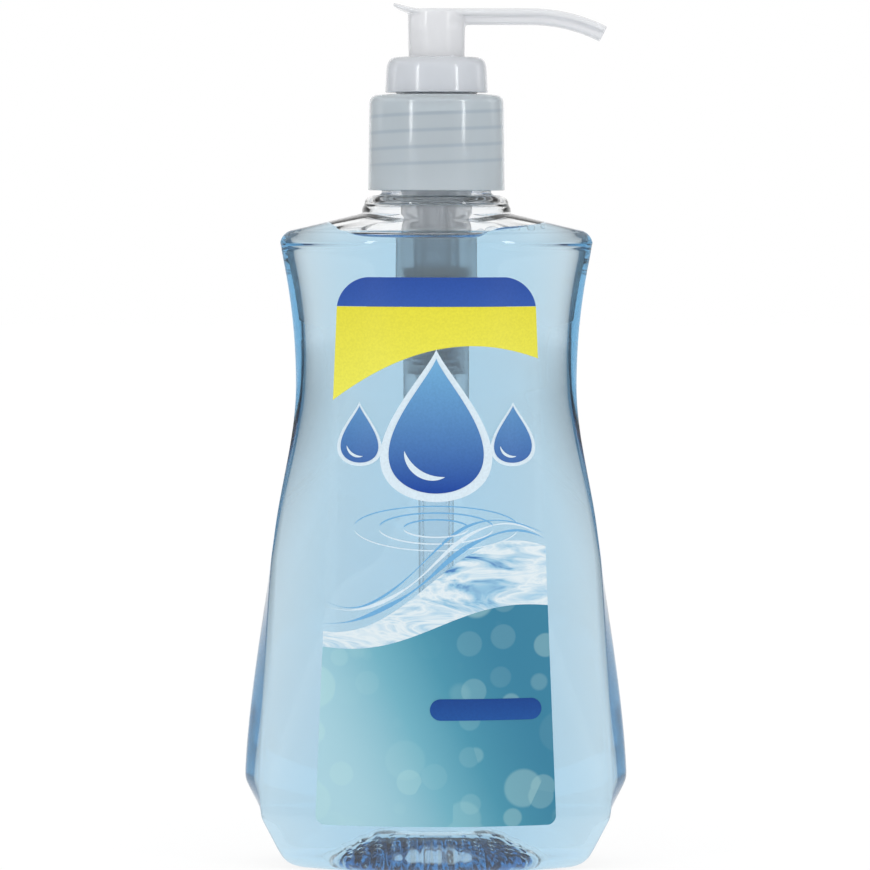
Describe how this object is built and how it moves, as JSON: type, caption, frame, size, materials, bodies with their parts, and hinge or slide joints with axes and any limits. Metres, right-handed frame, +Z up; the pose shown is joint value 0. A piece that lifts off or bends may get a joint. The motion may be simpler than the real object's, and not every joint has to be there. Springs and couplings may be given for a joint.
{
  "type": "pump bottle",
  "caption": "Clear waisted bottle of blue liquid soap with a translucent screw closure, dip tube and a lock-down lotion pump whose spout points sideways.",
  "frame": {"origin": "centre of the base on the floor, on the pump's axis", "axes": "+Z up along the pump's axis, +X towards the spout, -Y out of the front label"},
  "size_m": [0.0778, 0.0393, 0.1751],
  "materials": {
    "clear_body": "gloss",
    "soap": "gloss",
    "label_film": "gloss",
    "ink_blue": "gloss",
    "ink_yellow": "gloss",
    "ink_drop": "gloss",
    "ink_wave": "gloss",
    "ink_teal": "gloss",
    "ink_pill": "gloss",
    "frosted": "satin",
    "milky": "satin",
    "foam": "matte",
    "tube": "satin",
    "ball": "polished",
    "spring_wire": "polished",
    "piston": "satin"
  },
  "bodies": {
    "bottle": {"bottle": "clear_body", "soap": "soap", "front_label": "label_film", "label_blue_band": "ink_blue", "label_yellow_band": "ink_yellow", "label_water_drop": "ink_drop", "label_pale_wave": "ink_wave", "label_teal_field": "ink_teal", "label_blue_pill": "ink_pill", "back_label": "label_film", "back_blue_band": "ink_blue"},
    "pump": {"neck_gasket": "foam", "lock_ring": "milky", "pump_cylinder": "milky", "dip_tube": "tube", "ball_cage": "milky", "return_spring": "spring_wire"},
    "closure": {"closure": "frosted"},
    "check_ball": {"inlet_ball": "ball"},
    "piston": {"piston": "piston"},
    "head": {"piston_seat": "milky", "stem": "milky", "pump_head": "milky"}
  },
  "joints": [
    {"name": "pump_lift", "type": "slide", "parent": "bottle", "child": "pump", "axis": [0, 0, 1], "range_m": [0, 0.15]},
    {"name": "closure_turn", "type": "hinge", "parent": "pump", "child": "closure", "pos_m": [0, 0, 0.147], "axis": [0, 0, 1], "continuous": true},
    {"name": "ball_lift", "type": "slide", "parent": "pump", "child": "check_ball", "axis": [0, 0, 1], "range_m": [0, 0.0013]},
    {"name": "head_stroke", "type": "slide", "parent": "pump", "child": "piston", "axis": [0, 0, 1], "range_m": [0, 0.013], "deforming": ["return_spring"]},
    {"name": "head_swivel", "type": "hinge", "parent": "piston", "child": "head", "pos_m": [0, 0, 0.165], "axis": [0, 0, 1], "continuous": true}
  ]
}
